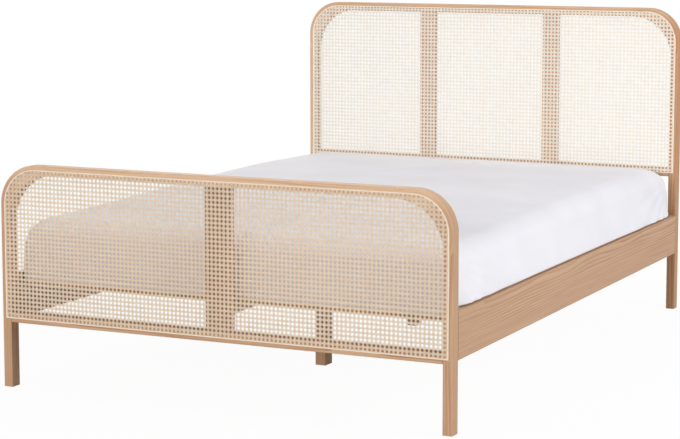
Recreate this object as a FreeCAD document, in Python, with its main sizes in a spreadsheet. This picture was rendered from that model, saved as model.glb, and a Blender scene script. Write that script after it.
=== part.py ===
import FreeCAD, Part
import math
import os
from types import SimpleNamespace

import Sketcher

# A double bed: arched headboard and footboard frames with woven cane panels, side rails on hook plates,
# a slatted base on a centre beam with two legs, and a loose mattress in a fitted sheet.
# Millimetres. X is across the bed, +Y points to the head, +Z is up. The origin is on the floor in the middle.

# Driving sizes: name, value, what it measures.
DRIVING = (
    ("head_height", 1080, "floor to the headboard's top edge"),
    ("foot_height", 675, "floor to the footboard's top edge"),
    ("frame_face", 30, "width of posts and rails, seen from the foot"),
    ("frame_depth", 40, "depth of posts and rails along the bed"),
    ("edge_round", 3, "radius on the long edges of posts and rails"),
    ("corner_radius", 120, "outer radius of the arch corners"),
    ("corner_reach", 175, "length of a corner block along the post and along the rail"),
    ("foot_panel_bottom", 198, "floor to the lower edge of the footboard's bottom rail"),
    ("head_panel_bottom", 480, "floor to the lower edge of the headboard's bottom rail"),
    ("foot_stile_width", 78, "width of the footboard's stile"),
    ("head_stile_width", 55, "width of the headboard's stiles"),
    ("foot_stile_depth", 34, "depth of the footboard's stile, flush with the frame's back"),
    ("head_stile_depth", 38, "depth of the headboard's stiles, flush with the frame's back"),
    ("groove_width", 5, "width of the cane groove"),
    ("groove_depth", 6, "depth of the cane groove"),
    ("cane_thickness", 1.2, "thickness of the cane panel"),
    ("cane_opening", 60, "side of the square openings in the cane, which stand for its open weave"),
    ("foot_column_count", 6, "columns of openings in each bay of the footboard's cane"),
    ("foot_row_count", 4, "rows of openings in the footboard's cane"),
    ("head_column_count", 4, "columns of openings in each bay of the headboard's cane"),
    ("head_row_count", 5, "rows of openings in the headboard's cane"),
    ("cane_tuck", 5, "how far the cane's edge goes down into the groove"),
    ("spline_proud", 2, "how far the spline stands out of the frame's face"),
    ("spline_round", 1.2, "radius on the spline's front edges"),
    ("fit_gap", 0.1, "clearance of a piece in its groove, recess or bore"),
    ("dowel_diameter", 8, "diameter of the dowels"),
    ("dowel_length", 40, "length of the dowels, half in each piece"),
    ("dowel_spacing", 14, "distance between the two dowels of a frame joint"),
    ("stile_dowel_spacing", 30, "distance between the two dowels of a stile joint"),
    ("lower_rail_dowel_spacing", 56, "distance between the two dowels of the lower head rail's joints"),
    ("side_rail_bottom", 203, "floor to the lower edge of the side rails"),
    ("side_rail_height", 137, "height of the side rails"),
    ("side_rail_thickness", 22, "thickness of the side rails and of the lower head rail"),
    ("ledge_drop", 40, "top of the side rail down to the top of the ledge"),
    ("ledge_width", 25, "width of the ledge that carries the slats"),
    ("ledge_height", 25, "height of the ledge"),
    ("ledge_end_gap", 10, "ledge end to the post"),
    ("slat_count", 14, "number of slats"),
    ("slat_width", 70, "width of a slat"),
    ("slat_thickness", 18, "thickness of a slat"),
    ("slat_end_gap", 2, "slat end to the side rail"),
    ("slat_margin", 30, "first and last slat to the end frames"),
    ("beam_width", 60, "width of the centre beam"),
    ("beam_height", 26, "height of the centre beam"),
    ("centre_leg_width", 36, "width of the centre legs across the bed"),
    ("centre_leg_depth", 50, "depth of the centre legs along the bed"),
    ("centre_leg_spacing", 720, "distance between the two centre legs"),
    ("leg_bolt_diameter", 8, "diameter of the bolt in each centre leg"),
    ("leg_bolt_in_beam", 20, "length of that bolt in the beam"),
    ("leg_bolt_in_leg", 45, "length of that bolt in the leg"),
    ("bracket_reach", 40, "length of each arm of the beam's angle brackets"),
    ("bracket_width", 50, "width of the angle brackets"),
    ("bracket_thickness", 3, "thickness of the angle brackets"),
    ("bracket_screw_spacing", 28, "distance between the two screws of a bracket arm"),
    ("plate_width", 15, "width of the hook plates and slotted plates"),
    ("plate_height", 104, "height of those plates"),
    ("plate_thickness", 2.5, "thickness of those plates"),
    ("plate_screw_spacing", 88, "distance between the two screws of a plate"),
    ("hook_spacing", 44, "distance between the two hooks of a rail end"),
    ("hook_thickness", 4, "thickness of a hook, and of its slot less the clearance"),
    ("hook_height", 14, "height of a hook's neck"),
    ("hook_drop", 7, "how far a hook's tongue reaches down behind the slotted plate"),
    ("hook_tongue", 6, "thickness of a hook's tongue"),
    ("hook_gap", 0.5, "slotted plate to the tongue behind it, and play of the neck in its slot"),
    ("screw_diameter", 4, "diameter of the screws"),
    ("screw_head", 7.5, "diameter of the countersunk screw heads"),
    ("screw_head_height", 2, "height of the countersunk screw heads"),
    ("short_screw_length", 16, "length of the screws in plates and brackets"),
    ("long_screw_length", 36, "length of the screws in the ledges and slats"),
    ("mattress_width", 1400, "width of the mattress"),
    ("mattress_length", 2000, "length of the mattress"),
    ("mattress_height", 205, "height of the mattress at its crown"),
    ("mattress_corner", 40, "radius of the mattress's upright corners"),
    ("mattress_top_edge", 60, "radius of the mattress's top edge"),
    ("mattress_bottom_edge", 14, "radius of the mattress's bottom edge"),
    ("mattress_draw", 8, "how far the sides are drawn in from the bottom edge up to the top edge"),
    ("mattress_crown", 6, "rise of the top from its edge to the middle"),
    ("mattress_crown_run", 240, "width of the rise, in from the edge"),
    ("mattress_side_gap", 8, "mattress to each side rail"),
    ("mattress_head_gap", 14, "mattress to the headboard's frame"),
    ("mattress_foot_gap", 34, "mattress to the footboard's frame"),
    ("rest_gap", 0.3, "clearance under and around what lies loose"),
    ("sheet_thickness", 1, "thickness of the fitted sheet"),
    ("sheet_turn_under", 110, "how far the sheet goes round under the mattress"),
)

UP = FreeCAD.Vector(0, 0, 1)
DOWN = FreeCAD.Vector(0, 0, -1)
RIGHT = FreeCAD.Vector(1, 0, 0)
LEFT = FreeCAD.Vector(-1, 0, 0)
HEADWARD = FreeCAD.Vector(0, 1, 0)
FOOTWARD = FreeCAD.Vector(0, -1, 0)
NO_TURN = FreeCAD.Rotation()
HALF_TURN = FreeCAD.Rotation(UP, 180)


class Size:
    """A length that keeps the spreadsheet expression it was worked out from."""

    def __init__(self, text, number):
        self.text = text
        self.number = number

    def joined(self, sign, other, number, swap=False):
        first = self.text
        second = as_size(other).text
        if swap:
            first, second = second, first
        return Size(f"({first} {sign} {second})", number)

    def __add__(self, other):
        return self.joined("+", other, self.number + as_size(other).number)

    def __radd__(self, other):
        return self.joined("+", other, as_size(other).number + self.number, swap=True)

    def __sub__(self, other):
        return self.joined("-", other, self.number - as_size(other).number)

    def __rsub__(self, other):
        return self.joined("-", other, as_size(other).number - self.number, swap=True)

    def __mul__(self, other):
        return self.joined("*", other, self.number * as_size(other).number)

    def __rmul__(self, other):
        return self.joined("*", other, as_size(other).number * self.number, swap=True)

    def __truediv__(self, other):
        return self.joined("/", other, self.number / as_size(other).number)

    def __neg__(self):
        return Size(f"(0 - {self.text})", -self.number)


def as_size(value):
    return value if isinstance(value, Size) else Size(f"{value:.9g}", value)


ZERO = as_size(0)

doc = FreeCAD.newDocument("double_bed")
sheet = doc.addObject("Spreadsheet::Sheet", "Sizes")
for row, (name, value, meaning) in enumerate(DRIVING, start=1):
    sheet.set(f"A{row}", name)
    sheet.set(f"B{row}", str(value))
    sheet.set(f"C{row}", meaning)
    sheet.setAlias(f"B{row}", name)
doc.recompute()
s = SimpleNamespace(**{name: Size(f"Sizes.{name}", float(getattr(sheet, name))) for name, _, _ in DRIVING})
slat_total = int(s.slat_count.number)
foot_grid = (int(s.foot_column_count.number), int(s.foot_row_count.number))
head_grid = (int(s.head_column_count.number), int(s.head_row_count.number))

# The bed's outline: over the side rails, and from the footboard's spline to the headboard's back
bed_width = s.mattress_width + (s.mattress_side_gap + s.side_rail_thickness) * 2
bed_length = s.mattress_length + s.mattress_head_gap + s.mattress_foot_gap + s.frame_depth * 2 + s.spline_proud

# Places that several pieces share
half_width = bed_width / 2
foot_face = s.spline_proud - bed_length / 2
foot_back = foot_face + s.frame_depth
head_face = bed_length / 2 - s.frame_depth
rail_inner = half_width - s.side_rail_thickness
rail_middle = half_width - s.side_rail_thickness / 2
ledge_top = s.side_rail_bottom + s.side_rail_height - s.ledge_drop
slat_top = ledge_top + s.slat_thickness
beam_bottom = ledge_top - s.beam_height
lower_rail_front = head_face + s.frame_depth - s.side_rail_thickness
plate_middle = s.side_rail_bottom + s.side_rail_height / 2

nodes = {}


def keep(label, piece):
    """Gives a finished piece its name and lists it for writing."""
    piece.Label = label
    nodes[label] = piece
    return piece


def bind(piece, prop, size):
    piece.setExpression(prop, as_size(size).text)


def place(piece, x=ZERO, y=ZERO, z=ZERO):
    for axis, size in zip("xyz", (x, y, z)):
        bind(piece, f"Placement.Base.{axis}", size)
    return piece


# Sketch outlines
def attach(sketch, body, role):
    planes = [plane for plane in body.Origin.OriginFeatures if plane.Role == role]
    sketch.AttachmentSupport = (planes[0], "")
    sketch.MapMode = "FlatFace"


def dimension(sketch, kind, size, *where):
    number = sketch.addConstraint(Sketcher.Constraint(kind, *where, as_size(size).number))
    bind(sketch, f"Constraints[{number}]", size)


def vector(x, y):
    return FreeCAD.Vector(as_size(x).number, as_size(y).number, 0)


def arc_of(centre, radius, start, end):
    circle = Part.Circle(centre, UP, as_size(radius).number)
    return Part.ArcOfCircle(circle, math.radians(start), math.radians(end))


def rounded_rectangle(sketch, low_x, low_y, high_x, high_y, radius):
    """A rectangle with round corners, from its lowest to its highest corner."""
    r = radius
    corners = (
        (vector(low_x + r, low_y), vector(high_x - r, low_y), vector(high_x - r, low_y + r), -90),
        (vector(high_x, low_y + r), vector(high_x, high_y - r), vector(high_x - r, high_y - r), 0),
        (vector(high_x - r, high_y), vector(low_x + r, high_y), vector(low_x + r, high_y - r), 90),
        (vector(low_x, high_y - r), vector(low_x, low_y + r), vector(low_x + r, low_y + r), 180),
    )
    lines = []
    arcs = []
    for start, end, centre, angle in corners:
        lines.append(sketch.addGeometry(Part.LineSegment(start, end), False))
        arcs.append(sketch.addGeometry(arc_of(centre, radius, angle, angle + 90), False))
    for index in range(4):
        sketch.addConstraint(Sketcher.Constraint("Tangent", lines[index], 2, arcs[index], 1))
        sketch.addConstraint(Sketcher.Constraint("Tangent", arcs[index], 2, lines[(index + 1) % 4], 1))
        level = "Horizontal" if index % 2 == 0 else "Vertical"
        sketch.addConstraint(Sketcher.Constraint(level, lines[index]))
    for index in range(1, 4):
        sketch.addConstraint(Sketcher.Constraint("Equal", arcs[0], arcs[index]))
    dimension(sketch, "Radius", radius, arcs[0])
    dimension(sketch, "DistanceX", low_x, -1, 1, lines[3], 1)
    dimension(sketch, "DistanceX", high_x, -1, 1, lines[1], 1)
    dimension(sketch, "DistanceY", low_y, -1, 1, lines[0], 1)
    dimension(sketch, "DistanceY", high_y, -1, 1, lines[2], 1)


def arch(sketch, bottom, top, inset):
    """The panel's outline, drawn in by the inset: square at the foot, round at the top."""
    wide = half_width - inset
    low = bottom + inset
    high = top - inset
    radius = s.corner_radius - inset
    bottom_line = sketch.addGeometry(Part.LineSegment(vector(-wide, low), vector(wide, low)), False)
    right_line = sketch.addGeometry(Part.LineSegment(vector(wide, low), vector(wide, high - radius)), False)
    right_arc = sketch.addGeometry(arc_of(vector(wide - radius, high - radius), radius, 0, 90), False)
    top_segment = Part.LineSegment(vector(wide - radius, high), vector(radius - wide, high))
    top_line = sketch.addGeometry(top_segment, False)
    left_arc = sketch.addGeometry(arc_of(vector(radius - wide, high - radius), radius, 90, 180), False)
    left_line = sketch.addGeometry(Part.LineSegment(vector(-wide, high - radius), vector(-wide, low)), False)
    ring = (bottom_line, right_line, right_arc, top_line, left_arc, left_line)
    for index, piece in enumerate(ring):
        after = ring[(index + 1) % len(ring)]
        kind = "Coincident" if bottom_line in (piece, after) else "Tangent"
        sketch.addConstraint(Sketcher.Constraint(kind, piece, 2, after, 1))
    for line, level in ((bottom_line, "Horizontal"), (top_line, "Horizontal"), (right_line, "Vertical")):
        sketch.addConstraint(Sketcher.Constraint(level, line))
    sketch.addConstraint(Sketcher.Constraint("Vertical", left_line))
    sketch.addConstraint(Sketcher.Constraint("Equal", right_arc, left_arc))
    dimension(sketch, "Radius", radius, right_arc)
    dimension(sketch, "DistanceX", wide, -1, 1, bottom_line, 2)
    dimension(sketch, "DistanceX", -wide, -1, 1, bottom_line, 1)
    dimension(sketch, "DistanceY", low, -1, 1, bottom_line, 1)
    dimension(sketch, "DistanceY", high, -1, 1, top_line, 1)


def polygon(sketch, points):
    """A closed outline of straight lines, each corner held by its two coordinates."""
    for index, start in enumerate(points):
        end = points[(index + 1) % len(points)]
        line = sketch.addGeometry(Part.LineSegment(vector(*start), vector(*end)), False)
        dimension(sketch, "DistanceX", start[0], -1, 1, line, 1)
        dimension(sketch, "DistanceY", start[1], -1, 1, line, 1)
    for index in range(len(points)):
        sketch.addConstraint(Sketcher.Constraint("Coincident", index, 2, (index + 1) % len(points), 1))


def new_sketch(body, role):
    sketch = body.newObject("Sketcher::SketchObject", "Outline")
    attach(sketch, body, role)
    return sketch


def pad(body, sketch, length, reverse=False):
    feature = body.newObject("PartDesign::Pad", "Pad")
    feature.Profile = sketch
    feature.Reversed = reverse
    bind(feature, "Length", length)
    sketch.Visibility = False
    return feature


def round_edges(body, solid, edges, radius):
    fillet = body.newObject("PartDesign::Fillet", "Rounded")
    fillet.Base = (solid, edges)
    bind(fillet, "Radius", radius)


# Solids
BAR_PLANES = {"X": "YZ_Plane", "Y": "XZ_Plane", "Z": "XY_Plane"}


def bar(axis, width, height, length, rounding=s.edge_round):
    """A straight member along an axis, with its long edges rounded and its lowest corner at its origin."""
    body = doc.addObject("PartDesign::Body", "Bar")
    sketch = new_sketch(body, BAR_PLANES[axis])
    rounded_rectangle(sketch, ZERO, ZERO, width, height, rounding)
    pad(body, sketch, length, reverse=axis == "Y")
    return body


def block(x, y, z):
    """A plain box, which cuts recesses."""
    box = doc.addObject("Part::Box", "Block")
    for prop, (low, high) in zip(("Length", "Width", "Height"), (x, y, z)):
        bind(box, prop, high - low)
    return place(box, x[0], y[0], z[0])


def carve(piece, *tools):
    """The piece with each tool's shape cut out of it, one after the other."""
    for tool in tools:
        cut = doc.addObject("Part::Cut", "Carved")
        cut.Base = piece
        cut.Tool = tool
        piece = cut
    return piece


def join(*pieces):
    fuse = doc.addObject("Part::MultiFuse", "Joined")
    fuse.Shapes = list(pieces)
    return fuse


def mirrored(piece, normal=RIGHT):
    mirror = doc.addObject("Part::Mirroring", "Mirrored")
    mirror.Source = piece
    mirror.Normal = normal
    return mirror


def group(pattern, places):
    """Separate copies of one pattern piece, each at a point with a turn."""
    doc.recompute()
    copies = []
    for x, y, z, turn in places:
        point = FreeCAD.Vector(as_size(x).number, as_size(y).number, as_size(z).number)
        copy = pattern.Shape.copy()
        copy.Placement = FreeCAD.Placement(point, turn).multiply(pattern.Shape.Placement)
        copies.append(copy)
    feature = doc.addObject("Part::Feature", "Group")
    feature.Shape = Part.makeCompound(copies)
    return feature


def along(direction):
    """The turn that points a piece made along +Z in a direction."""
    return FreeCAD.Rotation(UP, direction)


def both_sides(places):
    """Each place, and the same place on the other side of the bed."""
    found = []
    for x, y, z, direction in places:
        opposite = FreeCAD.Vector(-direction.x, direction.y, direction.z)
        found.append((x, y, z, along(direction)))
        found.append((-x, y, z, along(opposite)))
    return found


# Fasteners
def pin(diameter, length, clearance=ZERO):
    """A round pin along +Z, centred on its origin."""
    cylinder = doc.addObject("Part::Cylinder", "Pin")
    bind(cylinder, "Radius", diameter / 2 + clearance)
    bind(cylinder, "Height", length + clearance * 2)
    return place(cylinder, z=-(length / 2 + clearance))


def screw(length, clearance=ZERO):
    """A countersunk screw along +Z, its head just below the surface at its origin; its bore opens there."""
    start = s.fit_gap - clearance
    shank = doc.addObject("Part::Cylinder", "Shank")
    bind(shank, "Radius", s.screw_diameter / 2 + clearance)
    bind(shank, "Height", length + clearance * 2)
    head = doc.addObject("Part::Cone", "Head")
    bind(head, "Radius1", s.screw_head / 2 + clearance)
    bind(head, "Radius2", s.screw_diameter / 2 + clearance)
    bind(head, "Height", s.screw_head_height + clearance)
    return join(place(shank, z=start), place(head, z=start))


dowel = pin(s.dowel_diameter, s.dowel_length)
dowel_bore = pin(s.dowel_diameter, s.dowel_length, s.fit_gap)
short_screw = screw(s.short_screw_length)
short_screw_bore = screw(s.short_screw_length, s.fit_gap)
long_screw = screw(s.long_screw_length)
long_screw_bore = screw(s.long_screw_length, s.fit_gap)


# Bed-rail fittings: local origin in the joint between post and rail, with the post on the -Y side
def plate(low_y, high_y, clearance=ZERO):
    half = s.plate_width / 2 + clearance
    tall = s.plate_height / 2 + clearance
    return block((-half, half), (low_y, high_y), (-tall, tall))


def hook_heights():
    return (s.hook_spacing / 2, -(s.hook_spacing / 2))


def hook(height):
    """A hook that reaches through its slot and hangs down behind the slotted plate."""
    root = s.plate_thickness / 2
    neck_end = -(s.plate_thickness + s.hook_gap)
    tip = neck_end - s.hook_tongue
    neck_low = height - s.hook_height / 2
    top = height + s.hook_height / 2
    low = neck_low - s.hook_drop
    body = doc.addObject("PartDesign::Body", "Hook")
    sketch = new_sketch(body, "YZ_Plane")
    outline = ((root, neck_low), (root, top), (tip, top), (tip, low), (neck_end, low), (neck_end, neck_low))
    polygon(sketch, outline)
    pad(body, sketch, s.hook_thickness)
    return place(body, x=-(s.hook_thickness / 2))


def slot(height, low_y, high_y, below):
    """The hole for one hook, with room above it to lift the rail off."""
    half = s.hook_thickness / 2 + s.hook_gap
    low = height - s.hook_height / 2 - below
    high = height + s.hook_height / 2 + s.hook_drop + s.hook_gap
    return block((-half, half), (low_y, high_y), (low, high))


def plate_screw_places(turn):
    return [(ZERO, ZERO, s.plate_screw_spacing / 2, turn), (ZERO, ZERO, -(s.plate_screw_spacing / 2), turn)]


post_screws = group(short_screw, plate_screw_places(along(FOOTWARD)))
post_screw_bores = group(short_screw_bore, plate_screw_places(along(FOOTWARD)))
rail_screws = group(short_screw, plate_screw_places(along(HEADWARD)))
rail_screw_bores = group(short_screw_bore, plate_screw_places(along(HEADWARD)))

slots = [slot(height, -s.plate_thickness, ZERO, s.fit_gap) for height in hook_heights()]
slotted_plate = carve(plate(-s.plate_thickness, ZERO), *slots, post_screw_bores)
hooks = [hook(height) for height in hook_heights()]
hook_plate = carve(join(plate(ZERO, s.plate_thickness), *hooks), rail_screw_bores)

mortise_depth = s.plate_thickness + s.hook_gap * 2 + s.hook_tongue
mortises = [slot(height, -mortise_depth, ZERO, s.hook_drop + s.hook_gap) for height in hook_heights()]
post_recess = join(plate(-(s.plate_thickness + s.fit_gap), ZERO, s.fit_gap), *mortises, post_screw_bores)
rail_recess = join(plate(ZERO, s.plate_thickness + s.fit_gap, s.fit_gap), rail_screw_bores)

corner_places = [
    (side, end, plate_middle, turn)
    for side in (rail_middle, -rail_middle)
    for end, turn in ((foot_back, NO_TURN), (head_face, HALF_TURN))
]
post_recesses = group(post_recess, corner_places)
rail_recesses = group(rail_recess, corner_places)
keep("post_plates", group(slotted_plate, corner_places))
keep("rail_hooks", group(hook_plate, corner_places))
keep("plate_screws", group(join(post_screws, rail_screws), corner_places))


# End frames: headboard and footboard
def arch_ring(bottom, top, face, outer_inset, inner_inset, low_y, high_y):
    """A flat band round the panel, between two insets, from one depth behind the frame's face to another."""
    body = doc.addObject("PartDesign::Body", "Ring")
    sketch = new_sketch(body, "XZ_Plane")
    arch(sketch, bottom, top, outer_inset)
    arch(sketch, bottom, top, inner_inset)
    pad(body, sketch, high_y - low_y, reverse=True)
    return place(body, y=face + low_y)


def cane_panel(bottom, top, face):
    """The cane over the frame's face, with its edge tucked down into the groove."""
    tuck_inner = s.frame_face / 2 + s.groove_width / 2 - s.fit_gap
    tuck_outer = tuck_inner - s.cane_thickness
    body = doc.addObject("PartDesign::Body", "Cane")
    face_sketch = new_sketch(body, "XZ_Plane")
    arch(face_sketch, bottom, top, tuck_outer)
    pad(body, face_sketch, s.cane_thickness)
    edge_sketch = new_sketch(body, "XZ_Plane")
    arch(edge_sketch, bottom, top, tuck_outer)
    arch(edge_sketch, bottom, top, tuck_inner)
    pad(body, edge_sketch, s.cane_tuck, reverse=True)
    return place(body, y=face)


def bays_between(stiles, stile_width):
    """The left and right edge of each bay, from post to stile, stile to stile and stile to post."""
    inner = half_width - s.frame_face
    edges = [-inner]
    for centre in stiles:
        edges.extend((centre - stile_width / 2, centre + stile_width / 2))
    edges.append(inner)
    return list(zip(edges[::2], edges[1::2]))


def cane_openings(low, high, face, bays, grid):
    """Square openings in even columns and rows over each bay. The grid is columns in a bay, and rows."""
    columns, rows = grid
    half = s.cane_opening / 2
    opening = block((-half, half), (-(s.cane_thickness * 2), s.cane_thickness), (-half, half))
    row_step = (high - low) / rows
    places = []
    for left, right in bays:
        column_step = (right - left) / columns
        for column in range(columns):
            across = left + column_step * (column + 0.5)
            for row in range(rows):
                places.append((across, face, low + row_step * (row + 0.5), NO_TURN))
    return group(opening, places)


def cane_spline(bottom, top, face):
    """The bead that holds the cane in its groove, with its front edges rounded."""
    outer = s.frame_face / 2 - s.groove_width / 2 + s.fit_gap
    inner = s.frame_face / 2 + s.groove_width / 2 - s.fit_gap * 2 - s.cane_thickness
    ring = arch_ring(bottom, top, face, outer, inner, -s.spline_proud, s.groove_depth - s.fit_gap)
    doc.recompute()
    solid = ring.Tip
    front = [
        f"Edge{number}"
        for number, edge in enumerate(solid.Shape.Edges, start=1)
        if edge.BoundBox.YMax < s.spline_round.number
    ]
    round_edges(ring, solid, front, s.spline_round)
    return ring


def corner_block(top, face):
    """The right-hand corner: outside on the arch's radius, inside on a wider one, tangent to post and rail."""
    inner_radius = s.corner_reach - s.frame_face
    low = top - s.corner_reach
    start = half_width - s.corner_reach
    body = doc.addObject("PartDesign::Body", "Corner")
    sketch = new_sketch(body, "XZ_Plane")
    outer_x = half_width - s.corner_radius
    outer_z = top - s.corner_radius
    shapes = (
        Part.LineSegment(vector(half_width, low), vector(half_width, outer_z)),
        arc_of(vector(outer_x, outer_z), s.corner_radius, 0, 90),
        Part.LineSegment(vector(outer_x, top), vector(start, top)),
        Part.LineSegment(vector(start, top), vector(start, top - s.frame_face)),
        arc_of(vector(start, low), inner_radius, 0, 90),
        Part.LineSegment(vector(half_width - s.frame_face, low), vector(half_width, low)),
    )
    lines = [sketch.addGeometry(shape, False) for shape in shapes]
    post_side, outer_arc, top_side, rail_end, inner_arc, post_end = lines
    sketch.addConstraint(Sketcher.Constraint("Tangent", post_side, 2, outer_arc, 1))
    sketch.addConstraint(Sketcher.Constraint("Tangent", outer_arc, 2, top_side, 1))
    sketch.addConstraint(Sketcher.Constraint("Coincident", top_side, 2, rail_end, 1))
    sketch.addConstraint(Sketcher.Constraint("Coincident", rail_end, 2, inner_arc, 2))
    sketch.addConstraint(Sketcher.Constraint("Coincident", inner_arc, 1, post_end, 1))
    sketch.addConstraint(Sketcher.Constraint("Coincident", post_end, 2, post_side, 1))
    sketch.addConstraint(Sketcher.Constraint("Vertical", post_side))
    sketch.addConstraint(Sketcher.Constraint("Horizontal", top_side))
    sketch.addConstraint(Sketcher.Constraint("Vertical", rail_end))
    sketch.addConstraint(Sketcher.Constraint("Horizontal", post_end))
    dimension(sketch, "Radius", s.corner_radius, outer_arc)
    dimension(sketch, "DistanceX", half_width, -1, 1, post_side, 1)
    dimension(sketch, "DistanceY", low, -1, 1, post_side, 1)
    dimension(sketch, "DistanceY", top, -1, 1, top_side, 1)
    dimension(sketch, "DistanceX", start, -1, 1, top_side, 2)
    dimension(sketch, "DistanceX", start, -1, 1, inner_arc, 3)
    dimension(sketch, "DistanceY", low, -1, 1, inner_arc, 3)
    dimension(sketch, "Radius", inner_radius, inner_arc)
    solid = pad(body, sketch, s.frame_depth, reverse=True)
    doc.recompute()
    long_edges = []
    for number, edge in enumerate(solid.Shape.Edges, start=1):
        box = edge.BoundBox
        across = box.YLength > s.frame_depth.number / 2
        at_rail = box.XMax - start.number < s.edge_round.number
        at_post = box.ZMax - low.number < s.edge_round.number
        if not (across or at_rail or at_post):
            long_edges.append(f"Edge{number}")
    round_edges(body, solid, long_edges, s.edge_round)
    return place(body, y=face)


def frame_dowel_places(bottom, top, face, stiles, stile_depth):
    """Where the dowels cross the joints of post, corner block, top rail, bottom rail and stiles."""
    middle = face + s.frame_depth / 2
    stile_middle = face + s.frame_depth - stile_depth / 2
    places = []
    for step in (s.dowel_spacing / 2, -(s.dowel_spacing / 2)):
        places.append((half_width - s.frame_face / 2 + step, middle, top - s.corner_reach, UP))
        places.append((half_width - s.corner_reach, middle, top - s.frame_face / 2 + step, RIGHT))
        places.append((half_width - s.frame_face, middle, bottom + s.frame_face / 2 + step, RIGHT))
    found = both_sides(places)
    for centre in stiles:
        for step in (s.stile_dowel_spacing / 2, -(s.stile_dowel_spacing / 2)):
            for level in (bottom + s.frame_face, top - s.frame_face):
                found.append((centre + step, stile_middle, level, along(UP)))
    return found


def end_frame(end, bottom, top, face, stiles, stile_width, stile_depth, grid, more_dowels, stile_tools=()):
    """One end of the bed, from its posts to its cane. The stiles are a table of name and middle."""
    dowel_places = frame_dowel_places(bottom, top, face, stiles.values(), stile_depth) + more_dowels
    bores = group(dowel_bore, dowel_places)
    keep(f"{end}_dowels", group(dowel, dowel_places))
    groove_outer = s.frame_face / 2 - s.groove_width / 2
    groove_inner = s.frame_face / 2 + s.groove_width / 2
    groove = arch_ring(bottom, top, face, groove_outer, groove_inner, ZERO, s.groove_depth)

    post = bar("Z", s.frame_face, s.frame_depth, top - s.corner_reach)
    place(post, half_width - s.frame_face, face)
    right_post = carve(post, groove, bores, post_recesses)
    keep(f"{end}_right_post", right_post)
    keep(f"{end}_left_post", mirrored(right_post))

    right_corner = carve(corner_block(top, face), groove, bores)
    keep(f"{end}_right_corner", right_corner)
    keep(f"{end}_left_corner", mirrored(right_corner))

    top_rail = bar("X", s.frame_depth, s.frame_face, bed_width - s.corner_reach * 2)
    place(top_rail, s.corner_reach - half_width, face, top - s.frame_face)
    keep(f"{end}_top_rail", carve(top_rail, groove, bores))

    bottom_rail = bar("X", s.frame_depth, s.frame_face, bed_width - s.frame_face * 2)
    place(bottom_rail, s.frame_face - half_width, face, bottom)
    keep(f"{end}_bottom_rail", carve(bottom_rail, groove, bores))

    for name, centre in stiles.items():
        stile = bar("Z", stile_width, stile_depth, top - bottom - s.frame_face * 2)
        place(stile, centre - stile_width / 2, face + s.frame_depth - stile_depth, bottom + s.frame_face)
        keep(f"{end}_{name}", carve(stile, bores, *stile_tools))

    bays = bays_between(stiles.values(), stile_width)
    openings = cane_openings(bottom + s.frame_face, top - s.frame_face, face, bays, grid)
    keep(f"{end}_cane", carve(cane_panel(bottom, top, face), openings))
    keep(f"{end}_spline", cane_spline(bottom, top, face))
    return bores


# Angle brackets under the ends of the centre beam
def bracket_screw_places(seat, sign):
    """Two screws back into the upright piece and two up into the beam, at one end of the beam."""
    places = []
    reach = s.bracket_reach / 2 + s.bracket_thickness / 2
    inset = s.bracket_thickness
    back = FOOTWARD if sign > 0 else HEADWARD
    for step in (s.bracket_screw_spacing / 2, -(s.bracket_screw_spacing / 2)):
        places.append((step, seat + sign * inset, beam_bottom - reach, along(back)))
        places.append((step, seat + sign * reach, beam_bottom - inset, along(UP)))
    return places


bracket_places = bracket_screw_places(foot_back, 1) + bracket_screw_places(lower_rail_front, -1)
bracket_bores = group(short_screw_bore, bracket_places)
keep("bracket_screws", group(short_screw, bracket_places))


def beam_bracket(seat, sign):
    """An angle with one arm on the upright piece behind the beam's end and one arm under the beam."""
    far = seat + sign * s.bracket_reach
    near = seat + sign * s.bracket_thickness
    under = beam_bottom - s.bracket_thickness
    low = beam_bottom - s.bracket_reach
    body = doc.addObject("PartDesign::Body", "Bracket")
    sketch = new_sketch(body, "YZ_Plane")
    outline = ((seat, beam_bottom), (far, beam_bottom), (far, under), (near, under), (near, low), (seat, low))
    polygon(sketch, outline)
    pad(body, sketch, s.bracket_width)
    place(body, x=-(s.bracket_width / 2))
    return carve(body, bracket_bores)


keep("foot_beam_bracket", beam_bracket(foot_back, 1))
keep("head_beam_bracket", beam_bracket(lower_rail_front, -1))

end_frame(
    "foot",
    s.foot_panel_bottom,
    s.foot_height,
    foot_face,
    {"centre_stile": ZERO},
    s.foot_stile_width,
    s.foot_stile_depth,
    foot_grid,
    [],
    [bracket_bores],
)

lower_rail_dowels = both_sides(
    [
        (half_width - s.frame_face, lower_rail_front + s.side_rail_thickness / 2, plate_middle + step, RIGHT)
        for step in (s.lower_rail_dowel_spacing / 2, -(s.lower_rail_dowel_spacing / 2))
    ]
)
head_bores = end_frame(
    "head",
    s.head_panel_bottom,
    s.head_height,
    head_face,
    {"left_stile": -(bed_width / 6), "right_stile": bed_width / 6},
    s.head_stile_width,
    s.head_stile_depth,
    head_grid,
    lower_rail_dowels,
)
lower_rail = bar("X", s.side_rail_thickness, s.side_rail_height, bed_width - s.frame_face * 2)
place(lower_rail, s.frame_face - half_width, lower_rail_front, s.side_rail_bottom)
keep("head_lower_rail", carve(lower_rail, head_bores, bracket_bores))

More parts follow.
